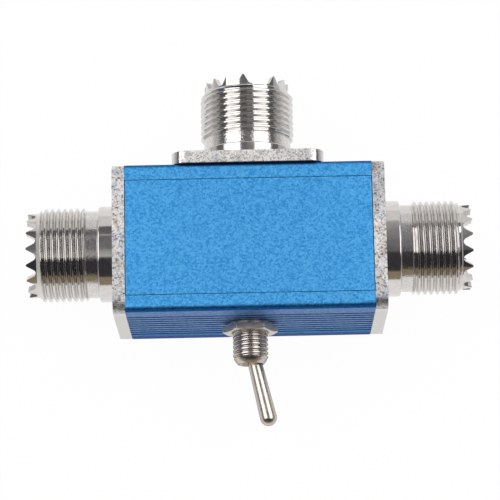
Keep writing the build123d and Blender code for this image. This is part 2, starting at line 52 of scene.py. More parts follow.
# Lengths inside the building functions are in millimetres; the meshes are scaled
# to metres when a piece is finished. Each turned piece is built in a local frame:
# Z along its axis and outward, Y up, and its origin on the wall of the box.
MM = 0.001
WELD = 0.0004  # vertices closer together than this become one
SLIVER = 0.0002  # edges shorter than this are dissolved
PORTS = {
    "left": ((-20.6, 0.0, 12.7), (-1, 0, 0)),
    "right": ((20.6, 0.0, 12.7), (1, 0, 0)),
    "centre": ((0.0, 12.5, 12.7), (0, 1, 0)),
}
TOGGLE = ((-0.15, -12.5, 12.7), (0, -1, 0))
PIVOT = 3.7  # from the wall to the lever's pivot


# ---- sizes, colours


def size(name, description, default):
    """A length of the piece, given in millimetres and kept in metres."""
    return FloatProperty(
        name=name,
        description=description,
        default=default * MM,
        min=0.0,
        precision=5,
        subtype="DISTANCE",
        unit="LENGTH",
    )


def colour(name, description, default):
    """A linear colour of one finish."""
    return FloatVectorProperty(
        name=name,
        description=description,
        default=default,
        min=0.0,
        max=1.0,
        size=3,
        subtype="COLOR",
    )


def in_mm(sizes):
    """The lengths of a group in millimetres, and its counts, under their own names."""
    units = {"FLOAT": MM, "INT": 1}
    return SimpleNamespace(
        **{
            name: getattr(sizes, name) / units[kind.type]
            for name, kind in sizes.bl_rna.properties.items()
            if kind.type in units
        }
    )


class PortSizes(PropertyGroup):
    flange_side: size("Flange side", "Side of the square flange", 25.4)
    flange_thickness: size("Flange thickness", "Thickness of the flange", 2.1)
    flange_corner: size("Flange corner", "Radius of the flange corners", 2.5)
    flange_edge: size("Flange edge", "Rounding of the flange's long edges", 0.12)
    pit_depth: size("Pit depth", "Depth of the pits in the rough flange edges", 0.07)
    collar_radius: size("Collar radius", "Radius of the collar on the flange", 8.15)
    collar_length: size("Collar length", "Length of the collar", 2.75)
    collar_edge: size("Collar edge", "Rounding of the collar's outer edge", 0.3)
    neck_radius: size("Neck radius", "Radius of the neck behind the thread", 7.4)
    neck_length: size("Neck length", "Length of the neck", 1.95)
    thread_radius: size("Thread radius", "Radius over the thread's crests", 7.94)
    thread_pitch: size("Thread pitch", "Pitch of the port thread", 25.4 / 24)
    thread_length: size("Thread length", "Length of the threaded part", 8.35)
    thread_chamfer: size("Thread chamfer", "Chamfer where the thread meets the neck", 0.3)
    nose_radius: size("Nose radius", "Radius of the toothed nose", 7.2)
    nose_length: size("Nose length", "Length of the toothed nose", 1.75)
    tooth_count: IntProperty(
        name="Teeth", description="Number of teeth on the nose", default=16, min=4, max=40
    )
    tip_rounding: size("Tip rounding", "Rounding at the tip of a tooth", 0.25)
    notch_depth: size("Notch depth", "Depth of a notch between two teeth", 1.62)
    notch_radius: size("Notch radius", "Rounding at the bottom of a notch", 0.65)
    cup_radius: size("Cup radius", "Radius of the cup around the contact", 6.1)
    cup_depth: size("Cup depth", "Depth of the cup from the nose", 8.0)
    bore_radius: size("Bore radius", "Radius of the bore for the insulator", 4.8)
    spigot_radius: size("Spigot radius", "Radius of the spigot in the box wall", 6.5)
    spigot_length: size("Spigot length", "Length of the spigot", 1.5)
    screw_spacing: size("Screw spacing", "Distance between two flange screws", 18.26)
    screw_head_radius: size("Countersink", "Radius of the countersink", 2.75)
    screw_hole_radius: size("Screw hole", "Radius of the screw hole", 1.6)


class ToggleSizes(PropertyGroup):
    bushing_radius: size("Bushing radius", "Radius over the bushing's thread", 2.97)
    bushing_length: size("Bushing length", "Reach of the bushing from the wall", 7.0)
    bushing_pitch: size("Bushing pitch", "Pitch of the bushing's thread", 0.75)
    mouth_length: size("Mouth length", "Length of the rounded mouth", 1.5)
    mouth_drop: size("Mouth drop", "How far the rounded mouth draws in", 0.82)
    nut_across_flats: size("Nut", "Width of the nut across its flats", 8.2)
    nut_thickness: size("Nut thickness", "Thickness of the nut", 1.7)
    lever_length: size("Lever length", "From the pivot to the lever's tip", 14.1)
    lever_root_radius: size("Lever root", "Radius of the lever at its root", 1.2)
    lever_tip_radius: size("Lever tip", "Radius of the lever at its tip", 1.42)


class FinishColours(PropertyGroup):
    anodising: colour("Anodising", "Blue of the box", (0.082, 0.425, 0.895))
    nickel: colour("Nickel", "Plating of the port shells", (0.69, 0.665, 0.645))
    toggle_nickel: colour("Toggle nickel", "Plating of the toggle", (0.62, 0.57, 0.52))
    pit: colour("Pits", "Colour in the pits of the flange edges", (0.10, 0.075, 0.06))
    zinc: colour("Zinc", "Plating of screws, washer and frame", (0.60, 0.61, 0.63))
    silver: colour("Silver", "Plating of the contacts", (0.78, 0.75, 0.70))
    insulator: colour("Insulator", "Port insulators", (0.86, 0.86, 0.83))
    phenolic: colour("Case", "Moulded case of the toggle", (0.33, 0.035, 0.028))


# ---- mesh building


def local_frame(place):
    """Matrix from a turned piece's local frame to the switch's frame, both in millimetres."""
    origin, outward = place
    z = Vector(outward)
    y = Vector((0, 0, 1))
    matrix = Matrix((y.cross(z), y, z)).transposed().to_4x4()
    matrix.translation = Vector(origin)
    return matrix


class Shape:
    """A mesh in millimetres, put together from rings of vertices around the Z axis."""

    def __init__(self):
        self.mesh = bmesh.new()
        self.around = self.mesh.verts.layers.float.new("around")
        self.along = self.mesh.verts.layers.float.new("along")

    def vertex(self, x, y, station, turn):
        made = self.mesh.verts.new((x, y, station))
        made[self.around], made[self.along] = turn, station
        return made

    def ring(self, points):
        """Vertices at (angle in radians, radius, station)."""
        return [
            self.vertex(radius * math.cos(turn), radius * math.sin(turn), station, turn / math.tau)
            for turn, radius, station in points
        ]

    def circle(self, radius, station, columns, centre=(0.0, 0.0)):
        made = self.ring([(math.tau * i / columns, radius, station) for i in range(columns)])
        for vertex in made:
            vertex.co.x += centre[0]
            vertex.co.y += centre[1]
        return made

    def face(self, vertices, slot=0):
        distinct = list(dict.fromkeys(vertices))
        if len(distinct) < 3:
            return
        face = self.mesh.faces.get(distinct) or self.mesh.faces.new(distinct)
        face.material_index = slot

    def band(self, lower, upper, slot=0, closed=True):
        """Faces between two rings with the same number of vertices."""
        count = len(lower)
        for i in range(count if closed else count - 1):
            j = (i + 1) % count
            self.face([lower[i], lower[j], upper[j], upper[i]], slot)

    def bands(self, rings, slot=0):
        for lower, upper in zip(rings, rings[1:]):
            self.band(lower, upper, slot)

    def join(self, lower, upper, slot=0):
        """Triangles between two rings whose columns don't match."""
        around = self.around
        lower, upper = (sorted(ring, key=lambda v: v[around] % 1.0) for ring in (lower, upper))

        def turn(ring, i):
            return ring[i % len(ring)][around] % 1.0 + i // len(ring)

        i = j = 0
        while i < len(lower) or j < len(upper):
            here, there = lower[i % len(lower)], upper[j % len(upper)]
            if j >= len(upper) or (i < len(lower) and turn(lower, i + 1) <= turn(upper, j + 1)):
                i += 1
                self.face([here, lower[i % len(lower)], there], slot)
            else:
                j += 1
                self.face([here, upper[j % len(upper)], there], slot)

    def plate(self, loops, slot=0):
        """One flat face filled between closed loops, the first outside the others."""
        edges = []
        for loop in loops:
            for a, b in zip(loop, loop[1:] + loop[:1]):
                edges.append(self.mesh.edges.get((a, b)) or self.mesh.edges.new((a, b)))
        filled = bmesh.ops.triangle_fill(self.mesh, edges=edges, use_beauty=True)
        for item in filled["geom"]:
            if isinstance(item, bmesh.types.BMFace):
                item.material_index = slot

    def finish(self, name, place, materials, sharp_degrees=40.0):
        """Welds the mesh, scales it to metres, sets it in place and returns the piece."""
        mesh = self.mesh
        bmesh.ops.remove_doubles(mesh, verts=mesh.verts[:], dist=WELD)
        bmesh.ops.dissolve_degenerate(mesh, edges=mesh.edges[:], dist=SLIVER)
        bmesh.ops.recalc_face_normals(mesh, faces=mesh.faces[:])
        turned = mesh.loops.layers.uv.new("turned")
        for face in mesh.faces:
            turns = [loop.vert[self.around] % 1.0 for loop in face.loops]
            wraps = max(turns) - min(turns) > 0.5
            for loop, turn in zip(face.loops, turns):
                radius = math.hypot(loop.vert.co.x, loop.vert.co.y)
                unwrapped = turn + 1.0 if wraps and turn < 0.5 else turn
                loop[turned].uv = (unwrapped * math.tau * radius * MM, loop.vert[self.along] * MM)
        mesh.transform(Matrix.Scale(MM, 4) @ place)
        data = bpy.data.meshes.new(name)
        mesh.to_mesh(data)
        mesh.free()
        data.shade_smooth()
        data.set_sharp_from_angle(angle=math.radians(sharp_degrees))
        for material in materials:
            data.materials.append(material)
        piece = bpy.data.objects.new(name, data)
        bpy.context.scene.collection.objects.link(piece)
        return piece


def applied(piece):
    """Makes the piece's modifiers part of its mesh."""
    graph = bpy.context.evaluated_depsgraph_get()
    made = bpy.data.meshes.new_from_object(piece.evaluated_get(graph))
    piece.modifiers.clear()
    piece.data = made
    return piece


def square_up(piece):
    """Lets the large faces set the shading, so that flats and flanks stay flat.

    The faces are weighed in millimetres, because areas in square metres all count as equal.
    """
    piece.data.transform(Matrix.Scale(1 / MM, 4))
    modifier = piece.modifiers.new("normals", "WEIGHTED_NORMAL")
    modifier.keep_sharp = True
    applied(piece).data.transform(Matrix.Scale(MM, 4))
    return piece


def thread_profile(pitch, land, crest_radius, floor, root_radius):
    """(share of a turn, depth) along one turn of a 60 degree thread, crest to crest.

    All but the pitch are shares of it; land and floor are the flats at crest and root.
    """
    flank = math.radians(60)

    def rounding(width, radius):
        """Half of a flat, then its rounding, as (across, depth)."""
        angles = [flank * i / 3 for i in range(4)]
        return [(width / 2 + radius * math.sin(a), radius * (1 - math.cos(a))) for a in angles]

    crest = rounding(land * pitch, crest_radius * pitch)
    root = rounding(floor * pitch, root_radius * pitch)
    slope = (pitch / 2 - crest[-1][0] - root[-1][0]) * math.tan(flank)
    depth = crest[-1][1] + slope + root[-1][1]
    half = [(0.0, 0.0), *crest]
    half += [(pitch / 2 - across, depth - drop) for across, drop in reversed(root)]
    mirrored = [(pitch - across, drop) for across, drop in reversed(half[1:])]
    return [(across / pitch, drop) for across, drop in half + mirrored]


def depth_at(profile, share):
    """Depth of a thread profile at a share of a turn."""
    share %= 1.0
    points = profile + [(1.0, profile[0][1])]
    for (a, low), (b, high) in zip(points, points[1:]):
        if a <= share <= b:
            return low + (high - low) * (share - a) / max(b - a, 1e-9)
    return profile[0][1]


def thread(shape, columns, radius, pitch, run, profile, limit, turn=0.0, slot=0):
    """A right-handed helical thread whose root leaves the start plane at the angle turn.

    It fills the run, and limit(station) caps its radius. Returns its first and last ring.
    """
    start, end = run
    angles = [math.tau * i / columns for i in range(columns)]
    shift = (0.5 - turn / math.tau) % 1.0
    grid = []
    for whole in range(-2, math.ceil((end - start) / pitch) + 1):
        for share, drop in profile:
            points = []
            for angle in [*angles, math.tau]:
                swept = angle / math.tau
                station = start + pitch * (whole + share + shift + swept)
                station = min(max(station, start), end)
                here = (station - start) / pitch - swept - shift
                crest = radius - depth_at(profile, here)
                points.append((angle, min(crest, limit(station)), station))
            grid.append(shape.ring(points))
    for lower, upper in zip(grid, grid[1:]):
        shape.band(lower, upper, slot, closed=False)
    return grid[0][:-1], grid[-1][:-1]


def carve(piece, cutter):
    """Cuts the cutter out of the piece and removes it."""
    modifier = piece.modifiers.new("cut", "BOOLEAN")
    modifier.operation = "DIFFERENCE"
    modifier.solver = "EXACT"
    modifier.object = cutter
    applied(piece)
    bpy.data.objects.remove(cutter)


# ---- materials


class Nodes:
    """A node tree, with short ways to add nodes and to join them."""

    def __init__(self, owner, bare=False):
        owner.use_nodes = True
        self.tree = owner.node_tree
        if bare:
            self.tree.nodes.clear()

    def feed(self, value, socket):
        """Gives a socket its value, or another node's output."""
        if isinstance(value, bpy.types.NodeSocket):
            self.tree.links.new(value, socket)
        else:
            socket.default_value = value

    def add(self, kind, settings=(), **sockets):
        node = self.tree.nodes.new(f"ShaderNode{kind}")
        for name, value in dict(settings).items():
            setattr(node, name, value)
        for name, value in sockets.items():
            self.feed(value, node.inputs[name.replace("_", " ")])
        return node

    def reckon(self, operation, *values, kind="Math"):
        """The result of an operation on numbers or outputs."""
        node = self.add(kind, {"operation": operation})
        for value, socket in zip(values, node.inputs):
            self.feed(value, socket)
        return node.outputs[0]

    def spread(self, value, low, high, start=0.3, end=0.7):
        """Stretches the range from start to end over the range from low to high."""
        node = self.add(
            "MapRange", Value=value, From_Min=start, From_Max=end, To_Min=low, To_Max=high
        )
        return node.outputs["Result"]


class Finish(Nodes):
    """A procedural material around one Principled shader, of metal unless told otherwise."""

    def __init__(self, name, **sockets):
        self.material = bpy.data.materials.new(name)
        super().__init__(self.material)
        self.shader = self.tree.nodes["Principled BSDF"]
        for socket, value in {"Metallic": 1.0, **sockets}.items():
            self.feed(value, self.shader.inputs[socket.replace("_", " ")])
        self.places = self.add("TexCoord").outputs

    def stretched(self, label, scale, source="Object"):
        """Coordinates stretched by one factor for each axis."""
        mapping = self.add("Mapping", {"label": label}, Scale=scale, Vector=self.places[source])
        return mapping.outputs["Vector"]

    def grain(self, scale, detail=3.0, roughness=0.6, vector=None):
        """Noise with features one over scale metres across."""
        place = vector or self.places["Object"]
        node = self.add("TexNoise", Scale=scale, Detail=detail, Roughness=roughness, Vector=place)
        return node.outputs["Fac"]

    def flecks(self, scale):
        """One random value for each small cell."""
        cells = self.add("TexVoronoi", Scale=scale, Vector=self.places["Object"])
        return self.add("SeparateColor", Color=cells.outputs["Color"]).outputs["Red"]

    def tint(self, value, stops):
        """Colours over a value: stops of (position, colour)."""
        node = self.add("ValToRGB", Fac=value)
        ramp = node.color_ramp
        for extra in stops[2:]:
            ramp.elements.new(extra[0])
        for element, (position, colour) in zip(ramp.elements, sorted(stops)):
            element.position = position
            element.color = (*colour, 1.0)
        return node.outputs["Color"]

    def two_tone(self, value, colour, dark, light, start=0.3, end=0.7):
        """A colour from its dark share to its light share over a value."""
        return self.tint(value, [(start, shade(colour, dark)), (end, shade(colour, light))])

    def product(self, first, second):
        """One colour multiplied by another."""
        return self.reckon("MULTIPLY", first, second, kind="VectorMath")

    def surface(self, colour, roughness, *layers):
        """Joins colour, roughness and stacked bumps of (height, strength, distance in metres)."""
        normal = None
        for height, strength, distance in layers:
            node = self.add("Bump", Strength=strength, Distance=distance, Height=height)
            if normal:
                self.feed(normal, node.inputs["Normal"])
            normal = node.outputs["Normal"]
        found = {"Base Color": colour, "Roughness": roughness, "Normal": normal}
        for socket, value in found.items():
            self.feed(value, self.shader.inputs[socket])
        return self.material


def shade(colour, factor):
    """The colour made darker or lighter, up to white."""
    return tuple(min(1.0, channel * factor) for channel in colour)


def blasted_anodising(colour):
    """Blue anodising over a finely blasted grain that sparkles a little.

    Painted shade: the upright walls take a greyer, dimmer slate by the way they face,
    and the rounded edges, the faces in the ribbed grooves and the lower walls are painted darker.
    """
    finish = Finish("blasted_blue_anodising", Specular_Tint=(0.55, 0.36, 0.30, 1.0))
    cells = finish.flecks(3400)
    fine = finish.grain(5200)
    sparkle = finish.reckon("MULTIPLY_ADD", cells, 0.5, fine)
    deep, bright = (
        tuple(channel * share for channel, share in zip(colour, shares))
        for shares in ((0.45, 0.66, 0.80), (1.6, 1.32, 1.18))
    )
    grain = finish.tint(sparkle, [(0.42, deep), (0.72, colour), (0.98, bright)])
    facing = finish.add("SeparateXYZ", Vector=finish.places["Normal"])
    upright = finish.reckon("ABSOLUTE", facing.outputs["Z"])
    height = finish.add("SeparateXYZ", Vector=finish.places["Generated"]).outputs["Z"]
    # Painted shade in the grooves: inside the ribbed band a face that leans up or down counts as
    # half upright, so it takes the dark edge tone.
    middle, ribbed = 0.5, 0.38
    among_ribs = finish.reckon("COMPARE", height, middle, ribbed)
    in_groove = finish.spread(among_ribs, 1.0, 0.5, 0.0, 1.0)
    key = finish.reckon("MULTIPLY", upright, in_groove)
    # Painted shade by facing: a greyer, dimmer slate on the upright walls, dark on the rounded
    # edges and groove faces, plain on the flat top and bottom.
    wall, edge, flat = (1.75, 0.88, 0.80), (0.13, 0.24, 0.38), (1.0, 1.0, 1.0)
    edge_fringe_shade = (0.34, 0.46, 0.58)
    shades = [(0.0, wall), (0.03, wall), (0.24, edge), (0.60, edge), (0.86, edge_fringe_shade), (0.975, flat)]
    painted_shade = finish.tint(key, shades)
    # Painted shade towards the bottom: the lower walls darken, most just above the foot, and the
    # foot itself is a little lighter.
    low, low_wall_shade, foot = (0.26, 0.79, 0.92), (0.09, 0.42, 0.60), (0.42, 0.88, 0.82)
    levels = [(0.0, foot), (0.03, low_wall_shade), (0.12, low_wall_shade), (0.15, low), (0.2, low), (0.4, flat)]
    fade = finish.tint(height, levels)
    return finish.surface(
        finish.product(finish.product(grain, painted_shade), fade),
        finish.spread(fine, 0.38, 0.5),
        (fine, 0.25, 0.00004),
        (cells, 0.15, 0.00003),
    )


def turned_nickel(name, colour, marks, smooth, rough, cloudy=0.03, **sockets):
    """Bright nickel over fine turning marks that run around the axis."""
    finish = Finish(name, **sockets)
    along_turns = finish.stretched("turning marks", (60, 9000, 1), "UV")
    lines = finish.grain(1.0, 4.0, 0.65, along_turns)
    cloud = finish.grain(900)
    return finish.surface(
        finish.two_tone(cloud, colour, 0.93, 1.04),
        finish.spread(cloud, smooth, rough),
        (lines, marks, 0.00002),
        (cloud, cloudy, 0.00004),
    )


def mottled_nickel(colour):
    """Nickel over a slightly orange-peeled surface."""
    finish = Finish("mottled_nickel")
    peel = finish.grain(3000, 3.0, 0.65)
    return finish.surface(
        finish.two_tone(peel, colour, 0.86, 1.04, 0.40, 0.60),
        finish.spread(peel, 0.08, 0.15),
        (peel, 0.35, 0.00008),
    )


def cast_nickel(name, colour, pit, scale, relief, stains):
    """Nickel over the rough sides of the casting: dark pits, bright grains, warm stains."""
    finish = Finish(name)
    holes = finish.grain(scale, 4.0, 0.75)
    stain = finish.grain(420)
    shadow = finish.grain(170, 2.0, 0.5)
    sparkle = finish.flecks(4200)
    mixed = finish.reckon("MULTIPLY_ADD", sparkle, 0.22, holes)
    nickel = [(0.50, 0.60), (0.58, 1.05), (0.80, 1.34)]
    grain = finish.tint(mixed, [(0.40, pit), *((at, shade(colour, tone)) for at, tone in nickel)])
    plain = (1.0, 1.0, 1.0)
    cold, warm, dull = (
        tuple(1 - loss * stains for loss in losses)
        for losses in ((0.18, 0.08, -0.04), (0.20, 0.29, 0.38), (0.28, 0.26, 0.23))
    )
    patches = finish.tint(stain, [(0.36, cold), (0.48, plain), (0.58, plain), (0.68, warm)])
    depths = finish.tint(shadow, [(0.42, plain), (0.62, dull)])
    return finish.surface(
        finish.product(finish.product(grain, patches), depths),
        finish.spread(stain, 0.30, 0.55),
        (holes, relief, 0.00009),
        (sparkle, relief / 2, 0.00004),
    )


def plated(name, colour, roughness, scale=2400, peel=0.08):
    """Plain plated metal with a faint grain."""
    finish = Finish(name)
    grain = finish.grain(scale)
    return finish.surface(
        finish.two_tone(grain, colour, 0.9, 1.06),
        finish.spread(grain, roughness * 0.75, roughness * 1.3),
        (grain, peel, 0.00003),
    )


def drawn_wire(name, colour, roughness):
    """Drawn or dipped wire, its streaks along the run."""
    finish = Finish(name)
    streaks = finish.grain(1.0, vector=finish.stretched("drawing", (900, 900, 4200)))
    return finish.surface(
        finish.two_tone(streaks, colour, 0.85, 1.06),
        finish.spread(streaks, roughness * 0.7, roughness * 1.3),
        (streaks, 0.1, 0.00002),
    )


def moulded(name, colour, roughness, scale=1800, subsurface=0.0):
    """Moulded or turned plastic with a fine surface grain; depths are in metres."""
    below = {"Subsurface_Radius": (0.6, 0.6, 0.55), "Subsurface_Scale": 0.001}
    finish = Finish(name, Metallic=0.0, Subsurface_Weight=subsurface, **below)
    grain = finish.grain(scale)
    return finish.surface(
        finish.two_tone(grain, colour, 0.9, 1.05),
        finish.spread(grain, roughness * 0.85, roughness * 1.15),
        (grain, 0.12, 0.00003),
    )


def dress(node, material):
    """Gives a CAD node its material."""
    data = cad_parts[node].data
    data.materials.clear()
    data.materials.append(material)


# ---- the box


class COAX_OT_dress_box(Operator):
    """Finish the extruded channel and its slide-in cover in blasted blue anodising"""

    bl_idname = "coax.dress_box"
    bl_label = "Dress the box"

    def execute(self, context):
        material = blasted_anodising(context.scene.coax_colours.anodising)
        dress("main_channel", material)
        dress("slide_cover", material)
        return {"FINISHED"}


# ---- the ports


def rounded_square(half, corner, step, reach):
    """Points (place, flat, rough) around a rounded square.

    flat fades to nought towards a corner; rough marks the two sides left as cast, which
    run on by a share, reach, of each corner.
    """
    flat = half - corner
    flat_steps = max(2, round(2 * flat / step))
    arc_steps = max(4, round(corner * math.pi / 2 / step))
    points = []
    for quarter in range(4):
        turn = Matrix.Rotation(quarter * math.pi / 2, 2)
        rough = quarter % 2 == 1
        for i in range(flat_steps):
            y = -flat + 2 * flat * i / flat_steps
            inside = 1.0 if rough else min(1.0, max(0.0, (flat - abs(y)) / 0.4))
            points.append((turn @ Vector((half, y)), inside, rough))
        for i in range(arc_steps):
            share = i / arc_steps
            angle = math.pi / 2 * share
            arc = Vector((flat + corner * math.cos(angle), flat + corner * math.sin(angle)))
            from_rough = share if rough else 1 - share
            points.append((turn @ arc, max(0.0, 1 - from_rough / reach), from_rough < reach))
    return points


def square_ring(shape, outline, station, inset, relief):
    """A ring of the flange's rounded square, moved inward by inset and by its relief."""
    made = []
    for point, flat, rough in outline:
        inward = inset + relief(point, station, flat, rough)
        place = point * (1 - inward / point.length)
        made.append(shape.vertex(*place, station, math.atan2(place.y, place.x) / math.tau))
    return made


def tooth_columns(size, phase):
    """For each column of the nose: outer (angle, station) and inner (angle, station)."""
    radius, cup = size.nose_radius, size.cup_radius
    tip, valley = size.tip_rounding, size.notch_radius
    rim = port_stations(size).nose
    half_turn = math.pi / size.tooth_count
    middle = half_turn * radius
    valley_centre = size.notch_depth - valley
    rise = valley_centre - tip
    lean = math.atan2(middle, rise) - math.asin((tip + valley) / math.hypot(middle, rise))
    flank_start = valley * math.cos(lean)
    flank_end = middle - tip * math.cos(lean)

    def depth(across):
        across = abs(across)
        if across <= flank_start:
            return valley_centre + math.sqrt(valley**2 - across**2)
        if across >= flank_end:
            return tip - math.sqrt(tip**2 - (middle - across) ** 2)
        low = valley_centre + valley * math.sin(lean)
        return low - (across - flank_start) / math.tan(lean)

    ridge = cup * math.sin(half_turn)
    top = radius * math.sin(half_turn)
    side = [top + (ridge - top) * share for share in (0.33, 0.67, 1.0)]
    side += [(ridge + flank_start) / 2, flank_start]
    bottom = [flank_start * math.sin(math.pi / 2 * i / 4) for i in range(-3, 4)]
    across = [-u for u in side] + bottom + side[::-1]
    outer, inner = [], []
    for notch in range(int(size.tooth_count)):
        centre = math.radians(phase) + (notch + 0.5) * 2 * half_turn
        outer.append((centre - half_turn, rim - depth(top)))
        inner.append((centre - half_turn, rim - depth(ridge)))
        for u in across:
            outer.append((centre + math.asin(u / radius), rim - depth(u)))
            reach = min(abs(u), ridge)
            turn = math.copysign(math.asin(reach / cup), u)
            inner.append((centre + turn, rim - depth(reach)))
    return outer, inner


def port_stations(size):
    """Distances from the wall of the box to the outer ends of a port's parts."""
    collar = size.flange_thickness + size.collar_length
    neck = collar + size.neck_length
    thread_end = neck + size.thread_length
    return SimpleNamespace(
        collar=collar, neck=neck, thread=thread_end, nose=thread_end + size.nose_length
    )


TURNED, MOTTLED, SATIN, BRIGHT, CAST = range(5)  # material slots of a port shell
SHELL_COLUMNS = 168
EASE = 0.12  # break of a port shell's small edges


def build_outside(shape, size, thread_turn):
    """Collar, neck and thread of a port; returns their first and last ring."""
    at = port_stations(size)
    face, neck = size.flange_thickness, size.neck_radius
    collar, edge = size.collar_radius, size.collar_edge
    walls = [(collar + EASE, face), (collar, face + EASE)]
    for i in range(5):
        turn = math.pi / 2 * i / 4
        radius = collar - edge + edge * math.cos(turn)
        walls.append((radius, at.collar - edge + edge * math.sin(turn)))
    walls += [(neck + EASE, at.collar), (neck, at.collar + EASE), (neck, at.neck)]
    rings = [shape.circle(radius, station, SHELL_COLUMNS) for radius, station in walls]
    shape.bands(rings[:-2], TURNED)
    shape.bands(rings[-3:], MOTTLED)

    pitch, crest = size.thread_pitch, size.thread_radius

    def lead_in(station):
        inner_end = crest - size.thread_chamfer + station - at.neck
        return min(inner_end, size.nose_radius + at.thread - station)

    profile = thread_profile(pitch, 0.17, 0.10, 0.09, 0.025)
    run = (at.neck, at.thread)
    start, end = thread(
        shape, SHELL_COLUMNS, crest, pitch, run, profile, lead_in, thread_turn, BRIGHT
    )
    shape.band(rings[-1], start, BRIGHT)
    return rings[0], end


def build_nose(shape, size, phase, thread_end):
    """Toothed nose, cup, bore and spigot of a port; returns the ring at the box's wall."""
    at = port_stations(size)
    outer, inner = tooth_columns(size, phase)
    nose, cup = size.nose_radius, size.cup_radius
    bore, spigot = size.bore_radius, size.spigot_radius
    floor, rear = at.nose - size.cup_depth, -size.spigot_length
    foot_height, spigot_chamfer = 0.08, 0.2
    nose_foot = shape.ring([(angle, nose, at.thread + foot_height) for angle, station in outer])
    tips = shape.ring([(angle, nose, station) for angle, station in outer])
    inner_tips = shape.ring([(angle, cup, station) for angle, station in inner])
    shape.join(thread_end, nose_foot, BRIGHT)
    shape.bands([nose_foot, tips, inner_tips], BRIGHT)
    walls = [(cup, floor), (bore, floor), (bore, rear), (spigot - spigot_chamfer, rear)]
    walls += [(spigot, rear + spigot_chamfer), (spigot, 0.0)]
    inside = [inner_tips]
    for radius, station in walls:
        inside.append(shape.ring([(angle, radius, station) for angle, tip in inner]))
    shape.bands(inside, TURNED)
    bmesh.ops.remove_doubles(shape.mesh, verts=inside[-1], dist=WELD)
    return [vertex for vertex in inside[-1] if vertex.is_valid]


def cast_relief(size, side):
    """How far each point of a flange's sides lies in: pits where rough, else barely uneven."""
    seed = Vector((*PORTS[side][1][:2], 3.0)) * 7.3  # other pits on each port
    face, bevel = size.flange_thickness, size.flange_edge

    def relief(point, station, flat, rough):
        place = Vector((point.x, point.y, station)) + seed
        broad = noise.noise(place * 0.9)
        if not rough:
            return 0.006 * broad * flat
        coarse, fine = noise.noise(place * 2.2), noise.noise(place * 5.0)
        hole = max(0.0, 0.8 * coarse + 0.6 * fine + 0.3 * broad - 0.1)
        edge_on = min(1.0, station / bevel, (face - station) / bevel)
        return size.pit_depth * min(1.0, 1.7 * hole + 0.15) * flat * max(0.0, edge_on)

    return relief


def build_flange(shape, size, side, collar_ring, spigot_ring):
    """The square flange with its four countersunk screw holes."""
    face, bevel = size.flange_thickness, size.flange_edge
    mesh_step, flat_rows = 0.17, 11
    reach = 0.25 if side == "centre" else 0.8
    outline = rounded_square(size.flange_side / 2, size.flange_corner, mesh_step, reach)
    rows = [(bevel * (1 - math.cos(a)), bevel * (1 - math.sin(a))) for a in (0.0, 0.5, 1.05)]
    rise = face - 2 * bevel
    sides = rows + [(bevel + rise * i / flat_rows, 0.0) for i in range(flat_rows + 1)]
    sides += [(face - station, inset) for station, inset in reversed(rows)]
    relief = cast_relief(size, side)
    rings = [square_ring(shape, outline, station, inset, relief) for station, inset in sides]
    for lower, upper in zip(rings, rings[1:]):
        for i in range(len(lower)):
            j = (i + 1) % len(lower)
            slot = MOTTLED
            if outline[i][1] > 0.0 or outline[j][1] > 0.0:
                slot = CAST if outline[i][2] or outline[j][2] else SATIN
            shape.face([lower[i], lower[j], upper[j], upper[i]], slot)

    spacing = size.screw_spacing / 2
    head, hole = size.screw_head_radius, size.screw_hole_radius
    sink_top, hole_columns = face - 0.04, 40
    rims = ((head + 0.07, face), (head, sink_top), (hole, sink_top - (head - hole)), (hole, 0.0))
    fronts, backs = [], []
    for x in (-spacing, spacing):
        for y in (-spacing, spacing):
            sink = [shape.circle(radius, level, hole_columns, (x, y)) for radius, level in rims]
            shape.bands(sink, TURNED)
            fronts.append(sink[0])
            backs.append(sink[-1])
    shape.plate([rings[-1], *fronts, collar_ring], SATIN)
    shape.plate([rings[0], *backs, spigot_ring], SATIN)


def build_shell(side, size, materials, phase, thread_turn):
    """One turned and milled port shell; phase and turn are in degrees."""
    shape = Shape()
    collar_ring, thread_end = build_outside(shape, size, math.radians(thread_turn))
    spigot_ring = build_nose(shape, size, phase, thread_end)
    build_flange(shape, size, side, collar_ring, spigot_ring)
    piece = square_up(shape.finish(f"{side}_shell", local_frame(PORTS[side]), materials))
    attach(piece, "housing")
    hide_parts(f"{side}_port_shell")


class COAX_OT_build_port_shells(Operator):
    """Build the three port shells with their flanges, helical threads and toothed noses"""

    bl_idname = "coax.build_port_shells"
    bl_label = "Build the port shells"

    def execute(self, context):
        size = in_mm(context.scene.coax_port)
        colours = context.scene.coax_colours
        nickel = colours.nickel
        coarse = cast_nickel("cast_nickel_side", nickel, colours.pit, 2300, 0.7, 1.0)
        fine = cast_nickel(
            "fine_cast_side", shade(nickel, 1.1), shade(nickel, 0.5), 3300, 0.3, 0.35
        )
        materials = [
            turned_nickel("turned_nickel", nickel, 0.22, 0.09, 0.16),
            mottled_nickel(nickel),
            plated("satin_nickel", shade(nickel, 0.93), 0.34, 1500, 0.06),
            turned_nickel("bright_nickel", shade(nickel, 0.96), 0.01, 0.09, 0.10, 0.0),
        ]
        # Each port is screwed in as it came: its first tooth's middle, its thread's start.
        for side, phase, turn in (("left", 19.6, 122), ("right", 16.5, 331), ("centre", 18.4, 0)):
            cast = fine if side == "centre" else coarse
            build_shell(side, size, [*materials, cast], phase, turn)
        return {"FINISHED"}


